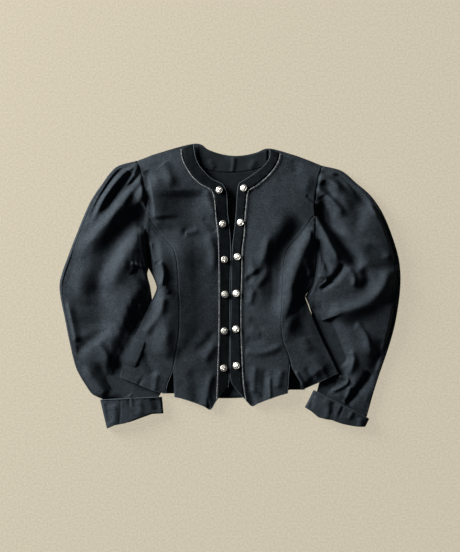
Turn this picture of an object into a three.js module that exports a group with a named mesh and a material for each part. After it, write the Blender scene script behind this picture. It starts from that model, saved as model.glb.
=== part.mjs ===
import * as THREE from "three";

// A tyrolean jacket laid out flat on its back, fronts up, sleeves down beside the body.
// Millimetres: +Z is up, +Y runs from hem to neck, +X is toward the wearer's left.
// The origin is on the table, under the middle of the jacket's box.

// Cloth thicknesses, and the gaps between pieces
const wool = 1.5;
const backWool = 1.3;
const velvet = 1.2;
const lining = 1.0;
const facing = 1.3;
const cuffWool = 2.0;
const seamGap = 0.4;
const layGap = 0.4;
const sideGap = 0.9;

// Where a sleeve runs under the body, the body rises over it and the sleeve lies pressed
const bodyLift = 6.8;
const liftRun = 25;
const pressedSleeve = 5.2;
const pressRun = 28;
const pressMargin = 12;
const layersOverBack = 2.2;
const backInset = 3;

// The rise of the fronts between their edges, and how soft their meeting with the back is
const frontDome = 3;
const domeRows = 3;
const looseLift = 0.6;
const softMeeting = 1.2;
const flatCloth = 0.01;

// The silver buttons
const buttonRadius = 7.2;
const buttonHeight = 3.8;

// Rows count down the garment: 0 at the shoulder seam, 15 at the hem
const lastRow = 15;
const rowStep = 0.5;
const ventRow = 13;
const seamRow = 5;
const hemRow = 13.5;

const { clamp, lerp: mix, smoothstep } = THREE.MathUtils;

// Tables: each names its columns once, then holds a row for each section or fold
function table(names, rows) {
  const keys = names.split(" ");
  return rows.map((values) => Object.fromEntries(keys.map((key, i) => [key, values[i]])));
}

// A smooth value of every column of a table, at a place given in its first column
function along(rows, at) {
  const key = Object.keys(rows[0])[0];
  const last = rows.length - 1;
  let start = 0;
  while (start < last - 1 && rows[start + 1][key] <= at) start += 1;
  const span = rows[start + 1][key] - rows[start][key];
  const t = (at - rows[start][key]) / span;
  const slope = (i, name) => {
    const low = rows[Math.max(i - 1, 0)];
    const high = rows[Math.min(i + 1, last)];
    return (high[name] - low[name]) / (high[key] - low[key]);
  };
  const result = {};
  for (const name of Object.keys(rows[0])) {
    const from = rows[start][name];
    const to = rows[start + 1][name];
    const leave = slope(start, name) * span;
    const arrive = slope(start + 1, name) * span;
    const t2 = t * t;
    const t3 = t2 * t;
    result[name] = (2 * t3 - 3 * t2 + 1) * from + (t3 - 2 * t2 + t) * leave
      + (3 * t2 - 2 * t3) * to + (t3 - t2) * arrive;
  }
  return result;
}

// The wearer's right half, which lies at negative X
const right = {
  side: -1,
  underarmRow: 9,
  edge: table("row x y z", [
    [0, -75, 291, 6.5], [1, -73, 275, 9], [2, -67, 254, 11], [3, -53, 234, 12], [4, -35, 218, 12],
    [5, -17, 209, 12], [6, -7, 190, 12], [7, -5, 152, 11], [8, 0, 106, 10], [9, 1.5, 65, 10],
    [10, 0, 2, 9.5], [11, -0.5, -59, 9], [12, -1, -121, 8.5], [13, -1.5, -174, 8],
    [14, -2, -192, 7.5], [15, -4, -207, 7],
  ]),
  band: table("row x y", [
    [0, -100, 280], [1, -98, 263], [2, -90, 244], [3, -75, 222], [4, -56, 206], [5, -37, 195],
    [6, -31, 172], [7, -28.5, 141], [8, -24, 102], [9, -22.5, 61], [10, -22, 2], [11, -22, -59],
    [12, -23, -121], [13, -25, -179], [14, -26, -207], [15, -27, -233],
  ]),
  armhole: table("row x y z", [
    [0, -191, 256, 4.5], [1, -185, 242, 10], [2, -178, 217, 14], [3, -172, 187, 17],
    [4, -170, 166, 18], [5, -169.5, 145, 18], [6, -170, 117, 16], [7, -169, 88, 13],
    [8, -167, 61, 9], [9, -166, 36, 3.2],
  ]),
  seam: table("row x y z", [
    [5, -169.5, 145, 18], [6, -141, 105, 20], [7, -115, 74, 21], [8, -107, 37, 21],
    [9, -105, -4, 20], [10, -103, -41, 19], [11, -103, -80, 18], [12, -107, -121, 17],
    [13, -114, -156, 14], [14, -114, -193, 12], [15, -113, -227, 11],
  ]),
  edgeSide: table("row x y", [
    [9, -166, 36], [9.5, -157, 18], [10, -150, -2], [11, -160, -30], [12, -182, -78],
    [13, -206, -129], [14, -218, -158], [15, -225, -186],
  ]),
  vent: { x: -18, y: 8 },
  frontHem: { drop: 20, at: 0.14 },
  sideHem: { drop: 4, at: 0.2 },
  coverFrom: -2,
  coverTo: -20,
};

// The wearer's left half, which lies at positive X
const left = {
  side: 1,
  underarmRow: 11,
  edge: table("row x y z", [
    [0, 82, 281, 6.5], [1, 81, 262, 9], [2, 68, 244, 11], [3, 50, 230, 12], [4, 31, 217, 12],
    [5, 19, 209, 12], [6, 15.5, 193, 12], [7, 13.5, 162, 11], [8, 10.5, 123, 10.5],
    [9, 5.5, 82, 10], [10, 3.7, 22, 9.5], [11, 2.5, -39, 9], [12, 1.6, -111, 8.5],
    [13, 1, -174, 8], [14, 2, -192, 7.5], [15, 5.5, -202, 7],
  ]),
  band: table("row x y", [
    [0, 103, 271], [1, 100, 257], [2, 90, 239], [3, 73, 220], [4, 55, 205], [5, 38, 194],
    [6, 34, 172], [7, 31, 139], [8, 29, 102], [9, 25.5, 74], [10, 24, 12], [11, 22.5, -49],
    [12, 23.5, -117], [13, 26.5, -180], [14, 29, -209], [15, 33, -234],
  ]),
  armhole: table("row x y z", [
    [0, 189, 246, 4.5], [1, 183, 231, 10], [2, 178, 207, 14], [3, 174, 187, 17],
    [4, 172, 166, 18], [5, 172.5, 145, 18], [6, 172, 117, 18], [7, 172, 88, 17],
    [8, 175, 61, 15], [9, 174, 33, 12], [10, 169, 4, 8], [11, 154, -22, 3.2],
  ]),
  seam: table("row x y z", [
    [5, 172.5, 145, 18], [6, 143, 105, 20], [7, 116, 72, 21], [8, 109, 37, 21],
    [9, 107, -4, 20], [10, 105.5, -41, 19], [11, 104.5, -80, 18], [12, 110, -117, 17],
    [13, 121, -146, 14], [14, 120, -184, 12], [15, 117.5, -219, 11],
  ]),
  edgeSide: table("row x y", [
    [11, 154, -22], [12, 165, -55], [13, 187, -107], [14, 205, -143], [15, 221, -178],
  ]),
  vent: { x: 29, y: 7 },
  frontHem: { drop: 14, at: 0.12 },
  sideHem: { drop: 1, at: 0.5 },
  coverFrom: -26,
  coverTo: -50,
};

// Sleeve sections, from the armhole to the end inside the cuff. Each runs from the inner edge
// to the outer edge; crown is its height, round the radius of its outer edge and base what it
// lies on.
const sleeveColumns = "section inX inY outX outY crown round base";
right.sleeve = table(sleeveColumns, [
  [0, -166, 36, -191, 256, 18, 0.9, 0], [1, -169, 25, -232, 244, 33, 7, 0],
  [2, -167, 12, -260, 211, 42, 9, 0], [3, -164, 1, -287, 170, 46, 11, 0],
  [4, -162, -11, -312, 111, 48, 11, 0], [5, -160, -25, -332, 59, 48, 11, 0],
  [6, -158, -45, -349, 2, 43, 11, 0], [7, -152, -80, -339, -61, 38, 10, 0],
  [8, -146, -121, -327, -121, 33, 9, 0], [9, -141, -168, -315, -168, 29, 8, 0],
  [10, -139, -198, -296, -202, 24, 7, 0.3], [11, -140, -216, -281, -222, 20, 6.5, 1.8],
  [12, -146, -229, -260, -234, 14, 5, 2.7], [13, -144, -248, -254, -260, 13, 5, 2.7],
]);
left.sleeve = table(sleeveColumns, [
  [0, 154, -22, 189, 246, 18, 0.9, 0], [1, 156, -27, 228, 236, 33, 7, 0],
  [2, 158, -31, 258, 211, 42, 9, 0], [3, 160, -35, 287, 186, 46, 11, 0],
  [4, 162, -40, 312, 150, 48, 11, 0], [5, 164, -46, 332, 102, 48, 11, 0],
  [6, 166, -53, 346, 53, 46, 11, 0], [7, 168, -62, 349, 6, 42, 11, 0],
  [8, 170, -80, 344, -43, 37, 10, 0], [9, 174, -107, 335, -90, 33, 9, 0],
  [10, 180, -135, 321, -137, 29, 8, 0], [11, 186, -168, 306, -180, 24, 7, 0.3],
  [12, 183, -196, 292, -224, 19, 6, 1.8], [13, 176, -221, 278, -273, 14, 5, 2.7],
  [14, 167, -238, 270, -284, 13, 5, 2.7],
]);

// Cuffs, from the free top edge to the mouth
const cuffColumns = "section inX inY outX outY bow";
right.cuff = table(cuffColumns, [
  [0, -139, -227, -266, -233, -2], [1, -136, -261, -252, -292, 0],
]);
left.cuff = table(cuffColumns, [
  [0, 171, -213, 285, -272, 0], [1, 153, -248, 277, -288, 9],
]);
const cuffRound = 7.5;
const cuffCrown = 3;

// The largest folds: a ridge where height is over zero, a trough where it is under. Each runs
// from (x0, y0) past (xm, ym) to (x1, y1); near and far are its widths to the left and right
// of its run, and held is 1 where it starts full, at a seam.
const foldColumns = "x0 y0 xm ym x1 y1 height near far held";
right.sleeveFolds = table(foldColumns, [
  [-196, 249, -246, 207, -287, 125, 7, 9, 14, 1],
  [-186, 226, -232, 176, -278, 130, -6, 8, 8, 1],
  [-180, 216, -230, 160, -266, 125, 7, 9, 10, 1],
  [-174, 190, -230, 110, -345, 10, -9, 15, 20, 1],
  [-172, 125, -216, 84, -277, -20, 9, 16, 22, 1],
  [-170, 42, -190, 40, -212, 40, -7, 14, 6, 1],
  [-318, 90, -326, 10, -300, -60, -8, 14, 22, 0],
  [-245, -84, -290, -108, -325, -138, -7, 10, 10, 0],
  [-196, 0, -205, -40, -190, -90, 6, 20, 24, 0],
  [-283, -145, -256, -190, -218, -222, -6, 9, 12, 0],
]);
left.sleeveFolds = table(foldColumns, [
  [191, 243, 250, 202, 284, 150, -7, 9, 9, 1],
  [186, 222, 225, 196, 248, 150, 7, 9, 9, 1],
  [184, 196, 212, 166, 246, 140, 6, 9, 9, 1],
  [178, 163, 225, 90, 262, 5, -10, 13, 16, 1],
  [190, 148, 240, 95, 320, 60, 8, 14, 18, 0],
  [330, 56, 285, -30, 172, -54, 10, 20, 9, 0],
  [240, 45, 205, 10, 172, -8, -7, 8, 12, 0],
  [215, -70, 198, -115, 204, -170, -7, 16, 18, 0],
  [280, -70, 284, -110, 272, -160, 5, 14, 14, 0],
  [262, -228, 285, -200, 300, -168, -5, 9, 9, 0],
]);
right.bodyFolds = table(foldColumns, [
  [-160, 140, -120, 60, -100, -90, -6, 20, 26, 0],
  [-150, 50, -140, -5, -172, -80, 4, 12, 14, 0],
  [-128, -70, -136, -110, -138, -140, 4, 10, 12, 0],
  [-50, -80, -90, -130, -110, -160, -3, 12, 12, 0],
]);
left.bodyFolds = table(foldColumns, [
  [140, 130, 82, 40, 66, -60, -6, 18, 22, 0],
  [124, 95, 104, 10, 112, -100, 4, 12, 12, 0],
  [165, 25, 146, 6, 138, -30, -5, 14, 14, 0],
  [24, 6, 45, 22, 68, 38, 3, 8, 9, 0],
]);

const foldSteps = 10;
for (const half of [right, left]) {
  for (const fold of [...half.sleeveFolds, ...half.bodyFolds]) {
    fold.path = [];
    for (let i = 0; i <= foldSteps; i += 1) {
      const t = i / foldSteps;
      const bend = (a, m, b) => (1 - t) * (1 - 2 * t) * a + 4 * t * (1 - t) * m + t * (2 * t - 1) * b;
      fold.path.push([bend(fold.x0, fold.xm, fold.x1), bend(fold.y0, fold.ym, fold.y1)]);
    }
  }
}

// Height that one fold adds at a place: a soft bell across it, fading toward its ends
function foldAt(fold, x, y) {
  let best = { distance: Infinity };
  for (let i = 0; i < foldSteps; i += 1) {
    const [ax, ay] = fold.path[i];
    const [bx, by] = fold.path[i + 1];
    const [dx, dy] = [bx - ax, by - ay];
    const t = clamp(((x - ax) * dx + (y - ay) * dy) / (dx * dx + dy * dy), 0, 1);
    const distance = Math.hypot(x - ax - t * dx, y - ay - t * dy);
    const turn = dx * (y - ay) - dy * (x - ax);
    if (distance < best.distance) best = { distance, turn, place: (i + t) / foldSteps };
  }
  const width = best.turn > 0 ? fold.near : fold.far;
  const start = fold.held ? 1 : smoothstep(best.place, 0, 0.3);
  const end = smoothstep(1 - best.place, 0, 0.35);
  return fold.height * Math.exp(-((best.distance / width) ** 2)) * start * end;
}

function foldsAt(folds, x, y) {
  return folds.reduce((sum, fold) => sum + foldAt(fold, x, y), 0);
}

// The greater of two heights, with a soft change between them
function softMax(a, b, blend) {
  const t = clamp(0.5 + (a - b) / (2 * blend), 0, 1);
  return mix(b, a, t) + blend * t * (1 - t);
}

function samples(from, to, step) {
  const count = Math.round((to - from) / step);
  return Array.from({ length: count + 1 }, (_, i) => mix(from, to, i / count));
}

// X of a line of the pattern at a height on the garment, read from finely spaced rows
function lineX(rows, names, y) {
  const [xName, yName] = names;
  for (let i = 0; i < rows.length - 1; i += 1) {
    const [a, b] = [rows[i], rows[i + 1]];
    if (y <= a[yName] && y >= b[yName]) {
      return mix(a[xName], b[xName], (a[yName] - y) / (a[yName] - b[yName]));
    }
  }
  return y > rows[0][yName] ? rows[0][xName] : rows[rows.length - 1][xName];
}

for (const half of [right, left]) {
  half.sideLine = samples(half.underarmRow, lastRow, rowStep).map((row) => along(half.edgeSide, row));
  const lastSection = half.sleeve.length - 1;
  half.sleeveInner = samples(1, lastSection, 0.5).map((section) => along(half.sleeve, section));
}

// How far the back is raised by the sleeve that runs under it
function liftAt(x, y) {
  const half = x < 0 ? right : left;
  const inner = Math.abs(lineX(half.sleeveInner, ["inX", "inY"], y));
  const over = smoothstep(Math.abs(x), inner - liftRun - backInset, inner - backInset);
  return bodyLift * over * smoothstep(-y, -half.coverFrom, -half.coverTo);
}

// The side line of the body: the armhole down to the underarm, then the side edge
function sideAt(half, row) {
  return along(row <= half.underarmRow ? half.armhole : half.edgeSide, row);
}

// The outer line of the centre front: the armhole down to the princess seam, then that seam
function seamAt(half, row) {
  return along(row <= seamRow ? half.armhole : half.seam, row);
}

// Top of the fronts at a place; across runs from 0 on the front edge past 1 on the princess seam
// to 2 on the side line
function frontTop(half, row, across, x, y) {
  const edge = along(half.edge, row);
  const seam = seamAt(half, row);
  const belowArm = row > half.underarmRow;
  let z;
  let closed = 0;
  if (across <= 1) {
    const dome = frontDome * smoothstep(row, 0, domeRows);
    z = mix(edge.z, seam.z, smoothstep(across, 0, 1)) + dome * 4 * across * (1 - across);
    closed = row < 1 ? 1 - row : 0;
  } else {
    const out = across - 1;
    const sideZ = belowArm ? liftAt(x, y) + backWool + sideGap + wool : sideAt(half, row).z;
    const roll = belowArm ? 1 - out ** 2.6 : 1 - out;
    z = sideZ + (seam.z - sideZ) * roll;
    closed = smoothstep(row, half.underarmRow - 2, half.underarmRow) * out ** 6;
  }
  const bandCalm = smoothstep(across, 0, 0.25);
  z += foldsAt(half.bodyFolds, x, y) * (1 - closed) * mix(0.3, 1, bandCalm);
  const below = liftAt(x, y) + backWool + wool + mix(layersOverBack + looseLift, sideGap, closed);
  return softMax(z, below, softMeeting * (1 - closed) + flatCloth);
}

// Closed cloth from a grid of top points and the points under them
function cloth(name, top, bottom, finish) {
  const rows = top.length;
  const columns = top[0].length;
  const points = [...top.flat(), ...bottom.flat()];
  const under = rows * columns;
  const index = [];
  const quad = (a, b, c, d) => index.push(a, b, c, a, c, d);
  for (let r = 0; r < rows - 1; r += 1) {
    for (let c = 0; c < columns - 1; c += 1) {
      const a = r * columns + c;
      quad(a, a + columns, a + columns + 1, a + 1);
      quad(under + a, under + a + 1, under + a + columns + 1, under + a + columns);
    }
  }
  const rim = [];
  for (let c = 0; c < columns - 1; c += 1) rim.push(c);
  for (let r = 0; r < rows - 1; r += 1) rim.push(r * columns + columns - 1);
  for (let c = columns - 1; c > 0; c -= 1) rim.push((rows - 1) * columns + c);
  for (let r = rows - 1; r > 0; r -= 1) rim.push(r * columns);
  rim.forEach((a, i) => {
    const b = rim[(i + 1) % rim.length];
    quad(a, b, under + b, under + a);
  });
  return solid(name, points, index, finish);
}

// Signed volume of a closed mesh, below zero where its faces point inwards
function volume(points, index) {
  let sum = 0;
  for (let i = 0; i < index.length; i += 3) {
    const [a, b, c] = [0, 1, 2].map((k) => new THREE.Vector3(...points[index[i + k]]));
    sum += a.dot(b.cross(c)) / 6;
  }
  return sum;
}

function solid(name, points, index, finish) {
  const geometry = new THREE.BufferGeometry();
  geometry.setAttribute("position", new THREE.Float32BufferAttribute(points.flat(), 3));
  geometry.setIndex(volume(points, index) < 0 ? index.slice().reverse() : index);
  geometry.computeVertexNormals();
  const mesh = new THREE.Mesh(geometry, new THREE.MeshStandardMaterial(finish));
  mesh.name = name;
  return mesh;
}

// Points a wall's thickness under a grid, measured square to the cloth and set straight down.
// A steep place counts as no steeper than this share, and no place is thinner than that one.
const steepest = 0.6;
const thinnest = 0.8;

function underneath(top, wall, lowest = () => -Infinity) {
  const at = (r, c) => top[clamp(r, 0, top.length - 1)][clamp(c, 0, top[0].length - 1)];
  return top.map((line, r) => line.map(([x, y, z], c) => {
    const across = new THREE.Vector3(...at(r, c + 1)).sub(new THREE.Vector3(...at(r, c - 1)));
    const down = new THREE.Vector3(...at(r + 1, c)).sub(new THREE.Vector3(...at(r - 1, c)));
    const normal = across.cross(down).normalize();
    const upright = clamp(Math.abs(normal.z), steepest, 1);
    return [x, y, Math.max(z - wall / upright, Math.min(lowest(x, y, r), z - thinnest * wall))];
  }));
}

const woolFinish = { color: 0x3a4147, roughness: 0.92, metalness: 0 };
const velvetFinish = { color: 0x1b2022, roughness: 0.85, metalness: 0 };
const liningFinish = { color: 0x3b4246, roughness: 0.5, metalness: 0 };
const facingFinish = { color: 0x23292b, roughness: 0.9, metalness: 0 };
const silverFinish = { color: 0xc9c2b2, roughness: 0.35, metalness: 1 };

const rows = samples(0, lastRow, rowStep);

// How far a hem hangs below the straight line between its ends
function hemDrop({ drop, at }, place) {
  return place < at ? (drop * place) / at : drop * ((1 - place) / (1 - at)) ** 1.4;
}

const bandParts = 1;
const frontParts = 7;
const shoulderRise = 3.4;

function centreFrontPoint(half, row, column) {
  const edge = along(half.edge, row);
  const band = along(half.band, row);
  const seam = seamAt(half, row);
  const onBand = column <= bandParts;
  const place = onBand ? column / bandParts : (column - bandParts) / frontParts;
  const [from, to] = onBand ? [edge, band] : [band, seam];
  let x = mix(from.x, to.x, place);
  let y = mix(from.y, to.y, place);
  if (!onBand) {
    y += shoulderRise * Math.sin(Math.PI * place) * clamp(1 - row, 0, 1);
    y -= hemDrop(half.frontHem, place) * smoothstep(row, hemRow, lastRow);
  }
  const bandWidth = Math.hypot(band.x - edge.x, band.y - edge.y);
  const clothWidth = Math.hypot(seam.x - band.x, seam.y - band.y);
  const share = bandWidth / (bandWidth + clothWidth);
  const across = onBand ? place * share : mix(share, 1, place);
  return [x, y, frontTop(half, row, across, x, y)];
}

function centreFront(half) {
  const columns = samples(0, bandParts + frontParts, 1);
  return rows.map((row) => columns.map((column) => centreFrontPoint(half, row, column)));
}

// Side front: its first row is a short edge just below the point where the princess seam starts
const sideParts = 6;
const sideStart = 0.3;

function sideFrontPoint(half, row, column) {
  const open = smoothstep(row, ventRow, lastRow);
  const seam = seamAt(half, row);
  const side = sideAt(half, row);
  const place = column / sideParts;
  const x = mix(seam.x + half.side * seamGap + half.vent.x * open, side.x, place);
  let y = mix(seam.y + half.vent.y * open, side.y, place);
  y -= hemDrop(half.sideHem, place) * smoothstep(row, hemRow, lastRow);
  return [x, y, frontTop(half, row, 1 + place, x, y)];
}

function sideFront(half) {
  const columns = samples(0, sideParts, 1);
  const grid = rows.filter((row) => row >= seamRow)
    .map((row) => columns.map((column) => sideFrontPoint(half, row, column)));
  grid[0] = grid[0].map((point, c) => point.map((value, k) => mix(value, grid[1][c][k], sideStart)));
  return grid;
}

// The back lies on the table. Its columns follow the side, the hidden edge of the sleeve and the
// run down from it, so that it clears the sleeve.
const backMiddle = 5;
const neckRight = { x: -72, y: 292 };
const neckLeft = { x: 80, y: 282 };
const neckDip = 20;
const backHemDrop = 48;
const sleeveInset = 6;
const shoulderInset = 20;
const backFlat = 34;

function backColumns(row) {
  const edges = [right, left].map((half) => {
    const side = sideAt(half, row);
    const inner = Math.abs(lineX(half.sleeveInner, ["inX", "inY"], side.y));
    const reach = Math.abs(side.x);
    const tucked = Math.min(inner - backInset, reach - sleeveInset);
    const over = row > half.underarmRow ? tucked : reach - shoulderInset;
    const flat = Math.min(over - liftRun, Math.abs(neckRight.x) + backFlat);
    const halfway = mix(reach, over, 0.5);
    const stops = [reach, halfway, over, mix(over, flat, 0.33), mix(over, flat, 0.67), flat];
    return stops.map((stop) => half.side * stop);
  });
  const [rightStops, leftStops] = edges;
  const middle = samples(0, 1, 1 / backMiddle).slice(1, -1)
    .map((place) => mix(rightStops[rightStops.length - 1], leftStops[leftStops.length - 1], place));
  return [...rightStops, ...middle, ...leftStops.reverse()];
}

function neckLine(x) {
  const place = clamp((x - neckRight.x) / (neckLeft.x - neckRight.x), 0, 1);
  return mix(neckRight.y, neckLeft.y, place) - neckDip * Math.sin(Math.PI * place);
}

// Top edge of the back: shoulder seams either side of the hollow of the neck
function backTopLine(x) {
  if (x > neckRight.x && x < neckLeft.x) return neckLine(x);
  const [half, neck] = x < 0 ? [right, neckRight] : [left, neckLeft];
  const tip = half.armhole[0];
  const place = clamp((x - neck.x) / (tip.x - neck.x), 0, 1);
  return mix(neck.y, tip.y, place) + shoulderRise * Math.sin(Math.PI * place);
}

function back() {
  const neckColumns = [neckRight.x, -44, -20, 4, 28, 54, neckLeft.x];
  const grid = rows.map((row) => {
    const low = sideAt(right, row);
    const high = sideAt(left, row);
    const stops = backColumns(row);
    const firstNeck = (stops.length - neckColumns.length) / 2;
    const atTop = clamp(1 - row / 2, 0, 1);
    return stops.map((stop, c) => {
      const neck = neckColumns[c - Math.floor(firstNeck)];
      const x = neck === undefined ? stop : mix(stop, neck, atTop);
      const place = (x - low.x) / (high.x - low.x);
      let y = mix(low.y, high.y, place);
      y += (backTopLine(x) - y) * smoothstep(3 - row, 0, 3);
      y -= backHemDrop * (1 - Math.abs(2 * place - 1) ** 2) * smoothstep(row, 11, lastRow);
      return [x, y, liftAt(x, y) + backWool];
    });
  });
  const floor = grid.map((line) => line.map(([x, y, z]) => [x, y, z - backWool]));
  return [grid, floor];
}

// Inner back: a facing round the neck, and the lining below it
const facingLow = 233;
const facingCurve = 0.0025;
const facingInset = 1.5;
const facingEnd = 4;
const liningHalf = 104;
const liningHem = -200;

function facingEdge(x) {
  return facingLow + facingCurve * x * x;
}

function backFacing() {
  return samples(0, 1, 0.5).map((down) => samples(0, 1, 0.1).map((place) => {
    const x = mix(neckRight.x + facingEnd, neckLeft.x - facingEnd, place);
    return [x, mix(neckLine(x) - facingInset, facingEdge(x), down), backWool + layGap + facing];
  }));
}

function backLining() {
  return samples(0, 1, 0.125).map((down) => samples(-liningHalf, liningHalf, 26).map((x) => (
    [x, mix(facingEdge(x) - sideGap, liningHem, down), backWool + layGap + lining]
  )));
}

// Inner layer of each vent, between the back and the fronts
const underlayTop = ventRow - 0.3;
const underlayWidth = 10;
const underlayFlare = 14;
const underlayLift = 0.7;
const underlayRise = 3;

function ventUnderlay(half) {
  const top = along(half.seam, underlayTop);
  const low = along(half.seam, lastRow);
  return samples(0, 1, 0.25).map((down) => samples(0, 1, 0.25).map((place) => {
    const width = mix(underlayWidth, Math.abs(half.vent.x) + underlayFlare, down);
    const x = mix(top.x, low.x + half.vent.x / 2, down) + (place - 0.5) * width;
    const y = mix(top.y, low.y + half.vent.y / 2 + underlayRise, down);
    return [x, y, liftAt(x, y) + backWool + underlayLift + lining];
  }));
}

// Sleeves. The columns start at the armhole, on the very points of the fronts' edges.
function armholePoints(half) {
  const points = samples(0, half.underarmRow, rowStep).reverse().map((row) => {
    const { x, y } = along(half.armhole, row);
    const z = row <= seamRow ? frontTop(half, row, 1, x, y) : frontTop(half, row, 2, x, y);
    return { x: x + half.side * seamGap, y, z };
  });
  let length = 0;
  points.forEach((point, i) => {
    if (i > 0) length += Math.hypot(point.x - points[i - 1].x, point.y - points[i - 1].y);
    point.length = length;
  });
  points.forEach((point) => {
    point.place = point.length / length;
  });
  return points;
}

function sleeveSections(half) {
  const last = half.sleeve.length - 1;
  return [...samples(0, last - 1, 0.5), last];
}

// How much of a place on the sleeve lies under the body: 1 inside the side edge and above the hem
const hemReach = 10;

function coveredAt(half, x, y) {
  const side = Math.abs(lineX(half.sideLine, ["x", "y"], y));
  const corner = along(half.edgeSide, lastRow);
  const inner = along(half.seam, lastRow);
  const hemX = inner.x + half.vent.x;
  const hemY = inner.y + half.vent.y;
  const hem = mix(corner.y, hemY, (x - corner.x) / (hemX - corner.x));
  const reach = Math.min(side - Math.abs(x), y - hem + hemReach);
  const below = smoothstep(-y, -half.coverFrom, -half.coverTo);
  return smoothstep(reach, -pressRun - pressMargin, -pressMargin) * below;
}

const seamTurn = Math.PI / 3;
const seamStep = 1.1;
const sleeveWall = 1.3;
const crownFullness = 2.4;
const edgeShare = 0.12;
const softLanding = 0.6;

function sleevePlace(half, section, place, armhole) {
  const cut = along(half.sleeve, section);
  const fade = 1 - smoothstep(section, 0, 3);
  const first = half.sleeve[0];
  const bulgeX = armhole.x - mix(first.inX, first.outX, place);
  const bulgeY = armhole.y - mix(first.inY, first.outY, place);
  const inset = section > 0 ? place * (cut.round * (1 - Math.cos(seamTurn)) + seamStep) : 0;
  const span = Math.hypot(cut.outX - cut.inX, cut.outY - cut.inY);
  const dirX = (cut.outX - cut.inX) / span;
  const dirY = (cut.outY - cut.inY) / span;
  const x = mix(cut.inX, cut.outX, place) + bulgeX * fade - dirX * inset;
  const y = mix(cut.inY, cut.outY, place) + bulgeY * fade - dirY * inset;
  return { cut, span, dirX, dirY, inset, x, y };
}

function upperSleeve(half) {
  const armhole = armholePoints(half);
  const last = half.sleeve.length - 1;
  return sleeveSections(half).map((section) => armhole.map((point) => {
    const { cut, x, y } = sleevePlace(half, section, point.place, point);
    const low = cut.base + sleeveWall + layGap + wool;
    const high = cut.base + cut.round * (1 + Math.sin(seamTurn)) + seamGap;
    const flat = mix(low, high, point.place);
    const bow = 1 - Math.abs(2 * point.place - 1) ** crownFullness;
    let z = flat + (cut.crown - flat) * bow;
    const calm = smoothstep(section, 0, 1) * (1 - smoothstep(section, last - 2.5, last - 1.5));
    const inner = smoothstep(point.place, -0.1, edgeShare);
    const outer = smoothstep(1 - point.place, -0.1, edgeShare);
    z += foldsAt(half.sleeveFolds, x, y) * calm * inner * outer;
    z = softMax(z, low, softLanding);
    z = mix(z, Math.min(z, pressedSleeve), coveredAt(half, x, y));
    const settled = section > 0 ? point.place ** 12 : 0;
    return [x, y, mix(point.z, z, Math.max(smoothstep(section, 0, 1.2), settled))];
  }));
}

// Under sleeve: flat on the table, then up round the outer edge to the seam
const wrapSteps = 4;
const underarmGap = 0.6;
const tightest = 0.3;

function underSleeve(half) {
  const armhole = armholePoints(half);
  const kept = armhole.filter((point, i) => i % 2 === 0 || i === armhole.length - 1);
  const top = [];
  const bottom = [];
  for (const section of sleeveSections(half)) {
    const upperLine = [];
    const lowerLine = [];
    const { cut, dirX, dirY } = sleevePlace(half, section, 1, kept[kept.length - 1]);
    for (const point of kept) {
      const spot = sleevePlace(half, section, point.place, point);
      const back = cut.round * point.place - spot.inset;
      const gap = half.side * underarmGap * (1 - smoothstep(section, 0, 1));
      const [x, y] = [spot.x - dirX * back + gap, spot.y - dirY * back];
      upperLine.push([x, y, cut.base + sleeveWall]);
      lowerLine.push([x, y, cut.base]);
    }
    const [endX, endY] = lowerLine[lowerLine.length - 1];
    for (let step = 1; step <= wrapSteps; step += 1) {
      const turn = (Math.PI / 2 + seamTurn) * (step / wrapSteps);
      for (const [line, radius] of [[lowerLine, cut.round], [upperLine, cut.round - sleeveWall]]) {
        const out = Math.max(radius, tightest) * Math.sin(turn);
        const up = cut.base + cut.round - Math.max(radius, tightest) * Math.cos(turn);
        line.push([endX + dirX * out, endY + dirY * out, up]);
      }
    }
    top.push(upperLine);
    bottom.push(lowerLine);
  }
  return [top, bottom];
}

// Cuff: a flattened ring of folded cloth round the end of the sleeve
const cuffSections = 4;
const arcSteps = 6;
const crownSteps = 6;

function cuffRing(half, section, inset) {
  const cut = along(half.cuff, section);
  const span = Math.hypot(cut.outX - cut.inX, cut.outY - cut.inY);
  const [dirX, dirY] = [(cut.outX - cut.inX) / span, (cut.outY - cut.inY) / span];
  const radius = cuffRound - inset;
  const loop = [];
  const put = (out, up) => {
    const bow = cut.bow * Math.sin(Math.PI * clamp(out / span, 0, 1));
    loop.push([cut.inX + dirX * out, cut.inY + dirY * out - bow, up]);
  };
  for (let i = 0; i <= arcSteps; i += 1) {
    const turn = -Math.PI / 2 + (Math.PI * i) / arcSteps;
    put(span - cuffRound + radius * Math.cos(turn), cuffRound + radius * Math.sin(turn));
  }
  for (let i = 1; i < crownSteps; i += 1) {
    const place = i / crownSteps;
    const rise = cuffCrown * 4 * place * (1 - place);
    put(mix(span - cuffRound, cuffRound, place), cuffRound + radius + rise);
  }
  for (let i = 0; i <= arcSteps; i += 1) {
    const turn = Math.PI / 2 + (Math.PI * i) / arcSteps;
    put(cuffRound + radius * Math.cos(turn), cuffRound + radius * Math.sin(turn));
  }
  for (let i = 1; i < crownSteps; i += 1) {
    put(mix(cuffRound, span - cuffRound, i / crownSteps), cuffRound - radius);
  }
  return loop;
}

function cuff(name, half) {
  const sections = samples(0, 1, 1 / cuffSections);
  const loops = [
    ...sections.map((section) => cuffRing(half, section, 0)),
    ...sections.reverse().map((section) => cuffRing(half, section, cuffWool)),
  ];
  const around = loops[0].length;
  const index = [];
  loops.forEach((_, ring) => {
    const next = (ring + 1) % loops.length;
    for (let i = 0; i < around; i += 1) {
      const j = (i + 1) % around;
      const [a, b] = [ring * around + i, ring * around + j];
      const [c, d] = [next * around + j, next * around + i];
      index.push(a, b, c, a, c, d);
    }
  });
  return solid(name, loops.flat(), index, woolFinish);
}

// Velvet band, made from the points of the front that it lies on, with a cord along its outer edge
const bandProfile = table("place rise", [
  [0, 0], [0.87, 0], [0.9, 1], [0.95, 1.3], [1, 0.5],
]);

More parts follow.
